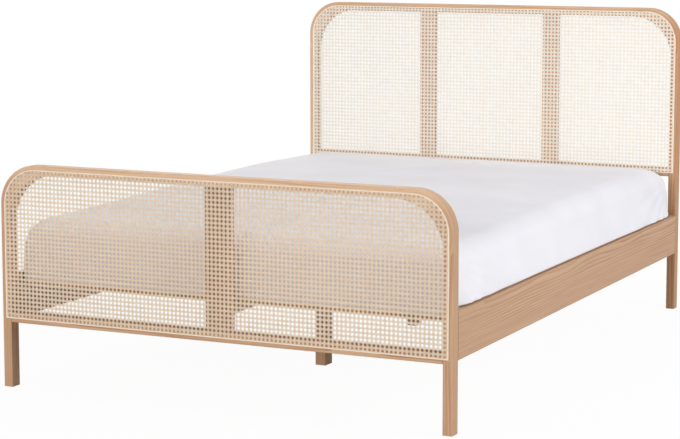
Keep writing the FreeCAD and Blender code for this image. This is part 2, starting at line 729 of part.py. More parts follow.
# Slats: where they lie, and where their screws and the ledge's screws go
slat_run = head_face - foot_back - s.slat_margin * 2 - s.slat_width
slat_pitch = slat_run / (slat_total - 1)
slat_starts = [foot_back + s.slat_margin + slat_pitch * number for number in range(slat_total)]
ledge_middle = rail_inner - s.ledge_width / 2
slat_screw_places = both_sides(
    [(ledge_middle, start + s.slat_width / 2, slat_top, DOWN) for start in slat_starts]
)
gap_middle = (s.slat_width + slat_pitch) / 2
ledge_screw_places = both_sides(
    [
        (rail_inner - s.ledge_width, start + gap_middle, ledge_top - s.ledge_height / 2, RIGHT)
        for start in slat_starts[:-1:2]
    ]
)
slat_bores = group(long_screw_bore, slat_screw_places)
ledge_bores = group(long_screw_bore, ledge_screw_places)
keep("slat_screws", group(long_screw, slat_screw_places))
keep("ledge_screws", group(long_screw, ledge_screw_places))

for number, start in enumerate(slat_starts, start=1):
    slat = bar("X", s.slat_width, s.slat_thickness, (rail_inner - s.slat_end_gap) * 2)
    place(slat, s.slat_end_gap - rail_inner, start, ledge_top)
    keep(f"slat_{number:02d}", carve(slat, slat_bores))

# Side rails and the ledges on their inner faces
side_rail = bar("Y", s.side_rail_thickness, s.side_rail_height, head_face - foot_back)
place(side_rail, rail_inner, foot_back, s.side_rail_bottom)
right_rail = keep("right_side_rail", carve(side_rail, rail_recesses, ledge_bores))
keep("left_side_rail", mirrored(right_rail))

ledge = bar("Y", s.ledge_width, s.ledge_height, head_face - foot_back - s.ledge_end_gap * 2)
place(ledge, rail_inner - s.ledge_width, foot_back + s.ledge_end_gap, ledge_top - s.ledge_height)
right_ledge = keep("right_slat_ledge", carve(ledge, ledge_bores, slat_bores))
keep("left_slat_ledge", mirrored(right_ledge))

# Centre beam on its two legs
bolt_length = s.leg_bolt_in_beam + s.leg_bolt_in_leg
bolt_middle = beam_bottom + (s.leg_bolt_in_beam - s.leg_bolt_in_leg) / 2
leg_middles = {"front_centre_leg": -(s.centre_leg_spacing / 2), "rear_centre_leg": s.centre_leg_spacing / 2}
bolt_places = [(ZERO, middle, bolt_middle, NO_TURN) for middle in leg_middles.values()]
bolt_bores = group(pin(s.leg_bolt_diameter, bolt_length, s.fit_gap), bolt_places)
keep("leg_bolts", group(pin(s.leg_bolt_diameter, bolt_length), bolt_places))

beam = bar("Y", s.beam_width, s.beam_height, lower_rail_front - foot_back)
place(beam, -(s.beam_width / 2), foot_back, beam_bottom)
keep("centre_beam", carve(beam, bolt_bores, bracket_bores))
for name, middle in leg_middles.items():
    leg = bar("Z", s.centre_leg_width, s.centre_leg_depth, beam_bottom)
    place(leg, -(s.centre_leg_width / 2), middle - s.centre_leg_depth / 2)
    keep(name, carve(leg, bolt_bores))


# Mattress and fitted sheet
EDGE_ANGLES = (0, 22.5, 45, 67.5, 90)
mattress_bottom = slat_top + s.rest_gap * 2 + s.sheet_thickness
mattress_middle = head_face - s.mattress_head_gap - s.mattress_length / 2


def cushion_profile(grow):
    """From the bottom up, how far each level lies in from the widest outline, and its height."""
    levels = []
    bottom_edge = s.mattress_bottom_edge + grow
    for angle in EDGE_ANGLES:
        turn = math.radians(angle)
        inset = s.mattress_bottom_edge - bottom_edge * math.sin(turn)
        levels.append((inset, s.mattress_bottom_edge - bottom_edge * math.cos(turn)))
    top_edge = s.mattress_top_edge + grow
    shoulder = s.mattress_height - s.mattress_crown - s.mattress_top_edge
    for angle in EDGE_ANGLES:
        turn = math.radians(angle)
        inset = s.mattress_draw + s.mattress_top_edge - top_edge * math.cos(turn)
        levels.append((inset, shoulder + top_edge * math.sin(turn)))
    crown_inset = s.mattress_draw + s.mattress_top_edge + s.mattress_crown_run
    levels.append((crown_inset, s.mattress_height + grow))
    return levels


def cushion(grow):
    """A crowned mattress form, its sides drawn in towards the top, grown outwards for the sheet round it."""
    sections = []
    for inset, height in cushion_profile(grow):
        sketch = doc.addObject("Sketcher::SketchObject", "Level")
        wide = s.mattress_width / 2 - inset
        deep = s.mattress_length / 2 - inset
        rounded_rectangle(sketch, -wide, -deep, wide, deep, s.mattress_corner + grow)
        place(sketch, ZERO, mattress_middle, mattress_bottom + height)
        sections.append(sketch)
    loft = doc.addObject("Part::Loft", "Cushion")
    loft.Sections = sections
    loft.Solid = True
    loft.Ruled = True
    return loft


keep("mattress", cushion(ZERO))
sheet_inner = cushion(s.rest_gap)
sheet_outer = cushion(s.rest_gap + s.sheet_thickness)
opening_x = s.mattress_width / 2 - s.sheet_turn_under
opening_y = s.mattress_length / 2 - s.sheet_turn_under
sheet_opening = block(
    (-opening_x, opening_x),
    (mattress_middle - opening_y, mattress_middle + opening_y),
    (slat_top, mattress_bottom + s.rest_gap),
)
keep("fitted_sheet", carve(sheet_outer, sheet_inner, sheet_opening))

# Check everything, then write one file for each piece
doc.recompute()
for item in doc.Objects:
    if "Invalid" in item.State or "Error" in item.State:
        raise RuntimeError(f"{item.Name} ({item.Label}) is {item.State}")
for label, piece in nodes.items():
    if piece.Shape.isNull() or not piece.Shape.isValid() or not piece.Shape.Solids:
        raise RuntimeError(f"{label} has no valid solid")

os.makedirs("parts", exist_ok=True)
for label, piece in nodes.items():
    piece.Shape.exportStep(f"parts/{label}.step")
    print(f"{label}: {len(piece.Shape.Solids)} solids, {piece.Shape.Volume / 1000:.1f} cm3")
print(f"{len(nodes)} pieces")
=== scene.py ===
import math

import bmesh
import bpy
import numpy as np
from mathutils import Euler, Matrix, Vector, noise


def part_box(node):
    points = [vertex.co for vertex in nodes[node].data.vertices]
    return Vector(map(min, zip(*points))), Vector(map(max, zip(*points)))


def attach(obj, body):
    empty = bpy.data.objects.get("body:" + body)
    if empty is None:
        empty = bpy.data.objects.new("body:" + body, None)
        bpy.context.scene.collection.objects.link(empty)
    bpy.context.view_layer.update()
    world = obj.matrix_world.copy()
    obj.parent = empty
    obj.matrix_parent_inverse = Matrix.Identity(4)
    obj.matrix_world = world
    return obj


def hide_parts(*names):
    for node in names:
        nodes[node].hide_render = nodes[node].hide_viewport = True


# Looks of the double bed: ash frames, strand-by-strand cane, slats, mattress and fitted sheet.
# Metres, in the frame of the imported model: +X right, +Y to the head, +Z up.

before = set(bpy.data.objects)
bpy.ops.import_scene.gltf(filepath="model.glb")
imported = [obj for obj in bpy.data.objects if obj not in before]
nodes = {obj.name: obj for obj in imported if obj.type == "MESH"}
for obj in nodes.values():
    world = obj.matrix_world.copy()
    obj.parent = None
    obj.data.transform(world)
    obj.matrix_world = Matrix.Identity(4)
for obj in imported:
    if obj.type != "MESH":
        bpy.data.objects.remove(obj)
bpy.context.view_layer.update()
scene = bpy.context.scene
MM = 0.001
EVEN_SCALE = (1, 1, 1)

# Sizes that the woven panels share with the solids
BEAD_INNER = 16.0 * MM
ARCH_RADIUS = 120 * MM
HALF_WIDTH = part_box("foot_right_post")[1].x


# Colours
def linear(red, green, blue):
    """A colour given in sRGB from 0 to 255, as the shaders take it."""
    found = []
    for value in (red, green, blue):
        share = value / 255
        found.append(share / 12.92 if share <= 0.04045 else ((share + 0.055) / 1.055) ** 2.4)
    return (*found, 1.0)


# Shader helpers
class Shader:
    """The nodes of a new material or world, with short calls for them."""

    def __init__(self, owner, output):
        owner.use_nodes = True
        self.owner = owner
        self.tree = owner.node_tree
        self.tree.nodes.clear()
        self.output = self.node(output)

    def node(self, kind, settings=None, **inputs):
        made = self.tree.nodes.new(f"ShaderNode{kind}")
        for name, value in (settings or {}).items():
            setattr(made, name, value)
        for name, value in inputs.items():
            self.feed(made.inputs[name.replace("_", " ")], value)
        return made

    def feed(self, socket, value):
        if isinstance(value, bpy.types.NodeSocket):
            self.tree.links.new(value, socket)
        else:
            socket.default_value = value

    def math(self, operation, *values):
        made = self.tree.nodes.new("ShaderNodeMath")
        made.operation = operation
        for socket, value in zip(made.inputs, values):
            self.feed(socket, value)
        return made.outputs[0]

    def place(self, scale, coordinates=None):
        """Object coordinates, stretched by the scale."""
        if coordinates is None:
            coordinates = self.node("TexCoord").outputs["Object"]
        return self.node("Mapping", Vector=coordinates, Scale=scale).outputs[0]

    def noise(self, vector, scale, detail=3.0, roughness=0.5):
        made = self.node("TexNoise", Vector=vector, Scale=scale, Detail=detail, Roughness=roughness)
        return made.outputs[0]

    def ramp(self, value, *stops):
        """A colour for the value, between two stops of a position and its colour."""
        made = self.node("ValToRGB", Fac=value)
        for element, (position, colour) in zip(made.color_ramp.elements, stops):
            element.position = position
            element.color = colour
        return made.outputs[0]

    def grey(self, value, low, high, start=0.0, end=1.0):
        """A value moved from the range start to end into the range low to high."""
        made = self.node("MapRange", Value=value, From_Min=start, From_Max=end, To_Min=low, To_Max=high)
        return made.outputs[0]

    def mix(self, share, first, second):
        """Two colours mixed by a share of the second, in the node's sockets for colours."""
        made = self.node("Mix", {"data_type": "RGBA"})
        for socket, value in ((0, share), (6, first), (7, second)):
            self.feed(made.inputs[socket], value)
        return made.outputs[2]

    def mix_values(self, first, second, share):
        """Two values mixed by a share of the second."""
        parts = [self.math("MULTIPLY", first, 1 - share), self.math("MULTIPLY", second, share)]
        return self.math("ADD", *parts)

    def bump(self, height, strength, distance):
        return self.node("Bump", Height=height, Strength=strength, Distance=distance).outputs[0]

    def surface(self, **inputs):
        made = self.node("BsdfPrincipled", **inputs)
        self.tree.links.new(made.outputs[0], self.output.inputs[0])
        return self.owner

    def blended_surface(self, share, first, second):
        """Two surfaces mixed by a share of the second."""
        mixed = self.node("MixShader", Fac=share)
        self.tree.links.new(first.outputs[0], mixed.inputs[1])
        self.tree.links.new(second.outputs[0], mixed.inputs[2])
        self.tree.links.new(mixed.outputs[0], self.output.inputs[0])
        return self.owner

    def seen(self):
        """1 for a ray that shows what it meets, even by way of a surface, and 0 for one that lights."""
        path = self.node("LightPath").outputs
        shown = self.math("MAXIMUM", path["Is Camera Ray"], path["Is Glossy Ray"])
        return self.math("MAXIMUM", shown, path["Is Transmission Ray"])


def material_shader(name):
    return Shader(bpy.data.materials.new(name), "OutputMaterial")


# How each grain direction sorts X, Y and Z into along, across and through the board
BOARD_AXES = {"X": (0, 2, 1), "Y": (1, 2, 0), "Z": (2, 0, 1)}

# Growth rings
RING_WIDTH = 6.5 * MM
RING_UNEVENNESS = 1.3
LATE_WOOD_SHARPNESS = 2.5
HEART_DRIFT = 28 * MM

# How fine the wood's markings are along, across and through the board
WANDER_SCALE = (1.1, 0.6, 0.6)
UNEVEN_SCALE = (2.5, 45, 45)
CLOUD_SCALE = (1.6, 16, 16)
STREAK_SCALE = (3, 130, 130)
FIBRE_SCALE = (7, 420, 420)
PORE_SCALE = (38, 1100, 1100)

# How much the markings show
STREAK_SHARE = 0.55
FIBRE_SHARE = 0.35
PORE_SHARE = 0.35
FIBRE_RELIEF = 0.5
TAN_STOP = 0.40
PALE_STOP = 0.60

# Where a corner block's tones change over, along its curve
CHANGE_START = ARCH_RADIUS * 0.5
CHANGE_END = ARCH_RADIUS * 1.1


def board_position(shader, grain, corner):
    """Along, across and through the board, with grain round the curve where a corner's middle is given."""
    parts = shader.node("SeparateXYZ", Vector=shader.node("TexCoord").outputs["Object"]).outputs
    if corner is None:
        return [parts[axis] for axis in BOARD_AXES[grain]]
    across = shader.math("SUBTRACT", shader.math("ABSOLUTE", parts[0]), corner[0])
    up = shader.math("SUBTRACT", parts[2], corner[1])
    squares = [shader.math("MULTIPLY", run, run) for run in (across, up)]
    reach = shader.math("SQRT", shader.math("ADD", *squares))
    along = shader.math("MULTIPLY", shader.math("ARCTAN2", up, across), ARCH_RADIUS)
    return [along, reach, parts[1]]


def wood(name, grain, tones, heart, corner=None, top_tones=None):
    """Planed wood: growth rings round a wandering heart, fibres and short pores, under a matt finish.

    The tones are pale, tan and the dark line of a ring, and the heart is across and through the board.
    A corner with top tones changes over to them on its way up to the rail."""
    pale, tan, line = tones
    shader = material_shader(name)
    along, across, through = board_position(shader, grain, corner)
    through = shader.math("ABSOLUTE", through)
    board = shader.node("CombineXYZ", X=along, Y=across, Z=through).outputs[0]
    wander = shader.node("TexNoise", Vector=shader.place(WANDER_SCALE, board), Scale=1.0, Detail=1.0)
    drift = shader.node("SeparateColor", Color=wander.outputs["Color"]).outputs
    squares = []
    for run, middle, share in ((across, heart[0], drift[0]), (through, heart[1], drift[1])):
        moved = shader.math("MULTIPLY", shader.math("SUBTRACT", share, 0.5), HEART_DRIFT)
        gap = shader.math("ADD", shader.math("SUBTRACT", run, middle), moved)
        squares.append(shader.math("MULTIPLY", gap, gap))
    radius = shader.math("SQRT", shader.math("ADD", *squares))
    uneven = shader.noise(shader.place(UNEVEN_SCALE, board), 1.0, detail=2.0)
    shift = shader.math("MULTIPLY", uneven, RING_UNEVENNESS)
    rings = shader.math("ADD", shader.math("DIVIDE", radius, RING_WIDTH), shift)
    late = shader.math("POWER", shader.math("FRACT", rings), LATE_WOOD_SHARPNESS)
    streaks = shader.noise(shader.place(STREAK_SCALE, board), 1.0, detail=2.0)
    fibres = shader.noise(shader.place(FIBRE_SCALE, board), 1.0, detail=3.0, roughness=0.6)
    specks = shader.noise(shader.place(PORE_SCALE, board), 1.0)
    pores = shader.grey(specks, low=0.0, high=1.0, start=0.58, end=0.72)
    cloud = shader.noise(shader.place(CLOUD_SCALE, board), 1.0, detail=2.0)
    strength = shader.grey(cloud, low=0.2, high=0.9, start=0.35, end=0.65)
    tint = shader.mix_values(shader.mix_values(cloud, streaks, STREAK_SHARE), fibres, FIBRE_SHARE)
    base = shader.ramp(tint, (TAN_STOP, tan), (PALE_STOP, pale))
    if top_tones is not None:
        top = shader.ramp(tint, (TAN_STOP, top_tones[1]), (PALE_STOP, top_tones[0]))
        changed = shader.grey(along, low=0.0, high=1.0, start=CHANGE_START, end=CHANGE_END)
        base = shader.mix(changed, base, top)
    ringed = shader.mix(shader.math("MULTIPLY", late, strength), base, line)
    colour = shader.mix(shader.math("MULTIPLY", pores, PORE_SHARE), ringed, line)
    relief = shader.math("SUBTRACT", shader.math("MULTIPLY", fibres, FIBRE_RELIEF), pores)
    return shader.surface(
        Base_Color=colour,
        Roughness=shader.grey(fibres, low=0.48, high=0.66, start=0.3, end=0.7),
        Normal=shader.bump(relief, strength=0.16, distance=0.5 * MM),
    )


# Tones of each wood, one of them with painted shade: pale, tan and the dark line of a ring
ASH_TONES = (linear(198, 161, 128), linear(182, 143, 110), linear(151, 104, 69))
FAIR_ASH_TONES = (linear(209, 174, 142), linear(194, 157, 124), linear(162, 116, 82))
PALE_ASH_TONES = (linear(221, 187, 155), linear(207, 171, 138), linear(174, 129, 94))
# Painted shade: ash darkened and browned for the shade on the head's right post and the lower end of its
# corner block
PAINTED_SHADE_ASH_TONES = (linear(190, 147, 108), linear(173, 128, 89), linear(141, 92, 56))
PINE_TONES = (linear(206, 172, 132), linear(191, 154, 112), linear(160, 114, 74))
BEECH_TONES = (linear(206, 170, 136), linear(194, 156, 120), linear(160, 116, 82))

# The heart of the log that each board was sawn from, across and through the board
ASH_HEARTS = {"X": (0.30, 1.55), "Y": (0.345, 0.665), "Z": (1.10, 1.60)}
PINE_HEARTS = {"X": (0.24, 2.30), "Y": (0.10, 0.90)}

ash = {axis: wood(f"ash_grain_{axis}", axis, ASH_TONES, heart) for axis, heart in ASH_HEARTS.items()}
fair_ash = wood("fair_ash_grain_X", "X", FAIR_ASH_TONES, ASH_HEARTS["X"])
painted_shade_ash = wood("painted_shade_ash_grain_Z", "Z", PAINTED_SHADE_ASH_TONES, ASH_HEARTS["Z"])
pale_ash = {axis: wood(f"pale_ash_grain_{axis}", axis, PALE_ASH_TONES, ASH_HEARTS[axis]) for axis in "XZ"}
pine = {axis: wood(f"pine_grain_{axis}", axis, PINE_TONES, heart) for axis, heart in PINE_HEARTS.items()}
beech = wood("beech_dowel_wood", "Z", BEECH_TONES, ASH_HEARTS["Z"])


def corner_wood(name, end, tones, top_tones):
    """Ash with its grain round the corner blocks of one end."""
    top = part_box(f"{end}_top_rail")[1].z
    middle = (HALF_WIDTH - ARCH_RADIUS, top - ARCH_RADIUS)
    return wood(name, "X", tones, ASH_HEARTS["X"], middle, top_tones)


SPANGLE_SCALE = 240.0


def zinc():
    """Zinc-plated steel with a faint spangle."""
    shader = material_shader("zinc_plated_steel")
    spangle = shader.noise(shader.place(EVEN_SCALE), SPANGLE_SCALE)
    return shader.surface(
        Base_Color=shader.ramp(spangle, (0.3, linear(168, 170, 174)), (0.7, linear(198, 200, 203))),
        Metallic=1.0,
        Roughness=shader.grey(spangle, low=0.28, high=0.42, start=0.3, end=0.7),
        Normal=shader.bump(spangle, strength=0.05, distance=0.2 * MM),
    )


def paint(node, material):
    mesh = nodes[node].data
    mesh.materials.clear()
    mesh.materials.append(material)


steel = zinc()
foot_corner_ash = corner_wood("foot_corner_ash", "foot", ASH_TONES, PALE_ASH_TONES)
corner_ash = {
    "foot_left_corner": foot_corner_ash,
    "foot_right_corner": foot_corner_ash,
    "head_left_corner": corner_wood("head_left_corner_ash", "head", PALE_ASH_TONES, FAIR_ASH_TONES),
    # The head's right corner block goes from painted shade at its post up to fair ash at the rail.
    "head_right_corner": corner_wood("head_right_corner_painted_shade_ash", "head", PAINTED_SHADE_ASH_TONES, FAIR_ASH_TONES),
}


def finish_of(node):
    """The material of a rigid CAD piece, by what it is and which way its grain runs, with painted light on
    the head's stiles and painted shade on its right post.
    """
    if node in corner_ash:
        return corner_ash[node]
    # Painted light: the head's stiles are given pale ash to make up for the shade behind their cane. The
    # head's left post has the same pale ash.
    if node in ("head_left_stile", "head_right_stile", "head_left_post"):
        return pale_ash["Z"]
    # Painted shade: the head's right post is given darker, browner ash for the shade it stands in.
    if node == "head_right_post":
        return painted_shade_ash
    if node.endswith(("_post", "_centre_leg", "_centre_stile")):
        return ash["Z"]
    if node.endswith("_side_rail"):
        return ash["Y"]
    if node == "head_top_rail":
        return fair_ash
    if node == "foot_top_rail":
        return pale_ash["X"]
    if node.endswith(("_bottom_rail", "_lower_rail")):
        return ash["X"]
    if node.endswith(("_slat_ledge", "_beam")):
        return pine["Y"]
    if node.endswith("_dowels"):
        return beech
    if node.startswith("slat_") and node != "slat_screws":
        return pine["X"]
    return steel


# Cane: strands in pairs upright and across, with single slanting strands both ways
PITCH = 13.2 * MM
PAIR_STEP = 1.15 * MM
STRAND = 1.9 * MM
SLANT_STRAND = 1.8 * MM
RIDGE = 0.30 * MM
EDGE_DROP = 0.10 * MM
MIDDLE_LIFT = 0.62 * MM
PAIR_WAVE = 0.22 * MM
SLANT_WAVE = 0.42 * MM
RIBBON_EDGES = 3
EDGE_HALVINGS = 24
CANE_SEEDS = {"foot": 11, "head": 12}

# Looks of the cane
PITH = linear(250, 198, 146)
CANE_THINNESS = 0.16
CANE_GLOW = linear(255, 254, 252)
CANE_ROUGHNESS = 0.42
REED_ROUGHNESS = 0.45
ROUGHNESS_SPREAD = 0.14
MOTTLE_SCALE = 38.0
MOTTLE_SHARE = 0.4
CANE_FIBRE_SCALE = 900.0


def cane_material(name, pale, deep, roughness):
    """Peeled cane: a glossy cream skin with long fibres, a tan back and a different tone in each strand.

    The strands are thin enough to let some light through from behind."""
    shader = material_shader(name)
    tone = shader.node("Attribute", {"attribute_name": "tone"}).outputs["Fac"]
    back = shader.node("Attribute", {"attribute_name": "back"}).outputs["Fac"]
    place = shader.place(EVEN_SCALE)
    mottle = shader.noise(place, MOTTLE_SCALE)
    share = shader.mix_values(tone, mottle, MOTTLE_SHARE)
    skin = shader.ramp(share, (0.25, deep), (0.75, pale))
    fibre = shader.noise(place, CANE_FIBRE_SCALE, detail=2.0)
    peel = shader.node(
        "BsdfPrincipled",
        Base_Color=shader.mix(back, skin, PITH),
        Roughness=shader.grey(mottle, low=roughness, high=roughness + ROUGHNESS_SPREAD, start=0.3, end=0.7),
        Normal=shader.bump(fibre, strength=0.12, distance=0.2 * MM),
    )
    through = shader.node("BsdfTranslucent", Color=CANE_GLOW)
    inside = shader.node("NewGeometry").outputs["Backfacing"]
    return shader.blended_surface(shader.math("MAXIMUM", inside, CANE_THINNESS), peel, through)


# Painted light: the head's cane is the foot's cane, painted lighter for the brighter light that falls on the
# head panel.
cane = {
    "foot": cane_material("foot_woven_cane", linear(255, 240, 219), linear(253, 230, 204), CANE_ROUGHNESS),
    "head": cane_material("head_woven_cane_painted_lighter", linear(255, 251, 241), linear(255, 246, 231), CANE_ROUGHNESS),
}
reed = cane_material("cane_spline_reed", linear(254, 246, 233), linear(251, 238, 220), REED_ROUGHNESS)


class Arch:
    """The outline that the cane fills, inside the bead."""

    def __init__(self, end):
        self.end = end
        self.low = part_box(f"{end}_bottom_rail")[0].z + BEAD_INNER
        self.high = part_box(f"{end}_top_rail")[1].z - BEAD_INNER
        self.wide = HALF_WIDTH - BEAD_INNER
        self.radius = ARCH_RADIUS - BEAD_INNER
        self.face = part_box(f"{end}_right_post")[0].y

    def rise(self, offset):
        """How far the outline is drawn in, so far past the start of its round corner."""
        past = min(max(offset, 0.0), self.radius)
        return self.radius - math.sqrt(self.radius**2 - past**2)

    def top(self, x):
        return self.high - self.rise(abs(x) - (self.wide - self.radius))

    def side(self, z):
        return self.wide - self.rise(z - (self.high - self.radius))

    def holds(self, x, z):
        return abs(x) <= self.wide and self.low <= z <= self.top(x)


def edge_between(arch, inside, outside):
    """The point on the outline between a point inside it and one outside."""
    for _ in range(EDGE_HALVINGS):
        middle = (inside + outside) / 2
        if arch.holds(*middle):
            inside = middle
        else:
            outside = middle
    return inside


class Weave:
    """Collects strands, each a closed ribbon with a ridged front, and makes one mesh of them."""

    def __init__(self, arch):
        self.arch = arch
        self.points = []
        self.faces = []
        self.tones = []
        self.backs = []
        self.count = 0

    def strand(self, places, lifts, width, tone):
        """A ribbon through the places (x, z), lifted off the frame's face by the lifts."""
        places = np.asarray(places)
        lifts = np.asarray(lifts)
        total = len(places)
        if total < 2:
            return
        heading = places[-1] - places[0]
        heading = heading / np.linalg.norm(heading)
        side = np.array((heading[1], -heading[0])) * width / 2
        front = self.arch.face - lifts
        left = np.column_stack((places[:, 0] - side[0], front + EDGE_DROP, places[:, 1] - side[1]))
        ridge = np.column_stack((places[:, 0], front - RIDGE, places[:, 1]))
        right = np.column_stack((places[:, 0] + side[0], front + EDGE_DROP, places[:, 1] + side[1]))
        self.points.append(np.stack((left, ridge, right), axis=1).reshape(-1, 3))
        self.tones.append(np.full(total * RIBBON_EDGES, tone))
        here = self.count + RIBBON_EDGES * np.arange(total - 1)
        after = here + RIBBON_EDGES
        for first in range(RIBBON_EDGES):
            second = (first + 1) % RIBBON_EDGES
            self.faces.append(np.column_stack((here + first, here + second, after + second, after + first)))
            self.backs.append(np.full(total - 1, 1.0 if second == 0 else 0.0))
        self.count += total * RIBBON_EDGES

    def piece(self, name):
        """One object of all the strands, with each point's tone and each face's side for the material."""
        mesh = bpy.data.meshes.new(name)
        points = np.concatenate(self.points)
        faces = np.concatenate(self.faces)
        mesh.vertices.add(len(points))
        mesh.vertices.foreach_set("co", points.astype(np.float32).ravel())
        mesh.loops.add(faces.size)
        mesh.loops.foreach_set("vertex_index", faces.astype(np.int32).ravel())
        mesh.polygons.add(len(faces))
        mesh.polygons.foreach_set("loop_start", np.arange(0, faces.size, 4, dtype=np.int32))
        mesh.update(calc_edges=True)
        tones = mesh.attributes.new("tone", "FLOAT", "POINT")
        tones.data.foreach_set("value", np.concatenate(self.tones).astype(np.float32))
        backs = mesh.attributes.new("back", "FLOAT", "FACE")
        backs.data.foreach_set("value", np.concatenate(self.backs).astype(np.float32))
        mesh.materials.append(cane[self.arch.end])
        made = bpy.data.objects.new(name, mesh)
        scene.collection.objects.link(made)
        return made


def crossings(low, high, zero):
    """Where the strands of the other direction cross, with +1 or -1 for the two of each pair."""
    first = math.ceil((low - zero) / PITCH - 0.5)
    last = math.floor((high - zero) / PITCH + 0.5)
    found = []
    for number in range(first, last + 1):
        for sign in (-1, 1):
            place = zero + number * PITCH + sign * PAIR_STEP
            if low < place < high:
                found.append((place, sign))
    return found


def pair_strand(low, high, zero, sign):
    """Where a strand of a pair bends between its two ends, and how far it is lifted there."""
    met = crossings(low, high, zero)
    places = [low, *(place for place, _ in met), high]
    signs = [0, *(sign * other for _, other in met), 0]
    return places, [MIDDLE_LIFT + PAIR_WAVE * way for way in signs]


def woven_panel(end):
    """The four layers of one panel's cane."""
    arch = Arch(end)
    draw = np.random.default_rng(CANE_SEEDS[end])
    zero = (arch.low + arch.high) / 2
    uprights = Weave(arch)
    level = Weave(arch)
    for x, sign in crossings(-arch.wide, arch.wide, 0.0):
        heights, lifts = pair_strand(arch.low, arch.top(x), zero, sign)
        uprights.strand([(x, z) for z in heights], lifts, STRAND, draw.uniform())
    for z, sign in crossings(arch.low, arch.high, zero):
        reach = arch.side(z)
        across, lifts = pair_strand(-reach, reach, 0.0, -sign)
        level.strand([(x, z) for x in across], lifts, STRAND, draw.uniform())
    pieces = [uprights.piece(f"{end}_cane_uprights"), level.piece(f"{end}_cane_cross_strands")]
    last = int((arch.wide + (arch.high - arch.low)) / PITCH)
    for way, name in ((1, "rising"), (-1, "falling")):
        slants = Weave(arch)
        for number in range(-last, last + 1):
            slant_strand(slants, arch, way, (number + 0.5) * PITCH, zero, draw.uniform())
        pieces.append(slants.piece(f"{end}_cane_{name}_strands"))
    return pieces


def slant_strand(weave, arch, way, offset, zero, tone):
    """One strand at 45 degrees, over the upright pairs and under the level ones, or the other way round."""
    steps = int(2 * arch.wide / PITCH) + 2
    places = []
    lifts = []
    for half in range(-steps, steps + 1):
        x = half * PITCH / 2
        places.append(np.array((x, zero + way * x + offset)))
        over = 1 if half % 2 == 0 else -1
        lifts.append(MIDDLE_LIFT + SLANT_WAVE * over * way)
    inside = [index for index, place in enumerate(places) if arch.holds(*place)]
    if not inside:
        return
    first = inside[0]
    last = inside[-1]
    start = edge_between(arch, places[first], places[first - 1])
    end = edge_between(arch, places[last], places[last + 1])
    run = [start, *places[first : last + 1], end]
    heights = [MIDDLE_LIFT, *lifts[first : last + 1], MIDDLE_LIFT]
    weave.strand(run, heights, SLANT_STRAND, tone)


def dress_cane(end):
    pieces = woven_panel(end)
    for piece in pieces:
        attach(piece, "bed_frame")
    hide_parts(f"{end}_cane")
    paint(f"{end}_spline", reed)


# Mattress and fitted sheet
MATTRESS_LOW, MATTRESS_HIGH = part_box("mattress")
SHEET_LOW, SHEET_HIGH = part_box("fitted_sheet")
RAIL_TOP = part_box("right_side_rail")[1].z
TOP_CORNER = 40 * MM
LOW_CORNER = 12 * MM
TOP_EDGE = 60 * MM
BOTTOM_EDGE = 4 * MM
SIDE_DRAW = 5 * MM
CROWN = 6 * MM
CROWN_RUN = 240 * MM
MERGE_REACH = 0.2 * MM

# Shares of the height between which the corners grow rounder and the sag comes in
SOFT_FROM = 0.4
SOFT_TO = 0.9

# How far the top sags to both ends, and how the sides roll out over the side rails
FOOT_DROOP = 18 * MM
FOOT_DROOP_RUN = 1400 * MM
HEAD_DROOP = 9 * MM
HEAD_DROOP_RUN = 600 * MM
ROLL = 15.5 * MM
ROLL_GAP = 1.2 * MM
ROLL_RISE = 3 * MM
ROLL_FADE = 100 * MM
ROLL_END = 70 * MM

# The sheet's turn under the mattress, and its swell, slack and folds between shares of its height
TURN_UNDER = 110 * MM
SIDE_START = (0.075, 0.15)
SIDE_END = (0.68, 0.95)
TOP_START = (0.85, 0.97)
SIDE_SWELL = 4.2 * MM
SIDE_SLACK = 1.6 * MM
SLACK_SCALE = 3.6
SLACK_STRETCH = np.array((1.0, 1.0, 2.0))
SLACK_SEED = 1
TOP_SWELL = 2.0 * MM
SWELL_SCALE = 2.4
SWELL_STRETCH = np.array((1.0, 1.0, 0.0))
SWELL_SEED = 3
FOLD_HUB = 0.72
FOLD_FADE = 0.45
FOLD_REACH = 520 * MM
FOLD_START = (10 * MM, 100 * MM)
FOLD_ANGLE = math.radians(13)
FOLD_WOBBLE = 0.10
WOBBLE_SCALE = 5.0
WOBBLE_SEED = 2
FOLD_DEPTH = 9.0 * MM
FOOT_FOLD_SHARE = 0.5
END_FOLD_DEPTH = 2.0 * MM
SEED_SHIFT = (7.3, 3.1, 5.7)

# Steps between the outlines of the mattress and the sheet, from the bottom's middle to the top's
BASE_STEPS = 12
HEM_STEPS = 12
BOTTOM_EDGE_STEPS = 6
LOW_SIDE_STEPS = 25
HIGH_SIDE_STEPS = 20
LOW_SIDE_SHARE = 0.35
TOP_EDGE_STEPS = 11
TOP_STEPS = 54

# Steps round each outline
STRAIGHT_ACROSS = 112
STRAIGHT_ALONG = 164
ROUND_STEPS = 10


def smooth(low, high, value):
    """0 below the range, 1 above it, and a soft step between."""
    share = np.clip((value - low) / (high - low), 0.0, 1.0)
    return share * share * (3 - 2 * share)


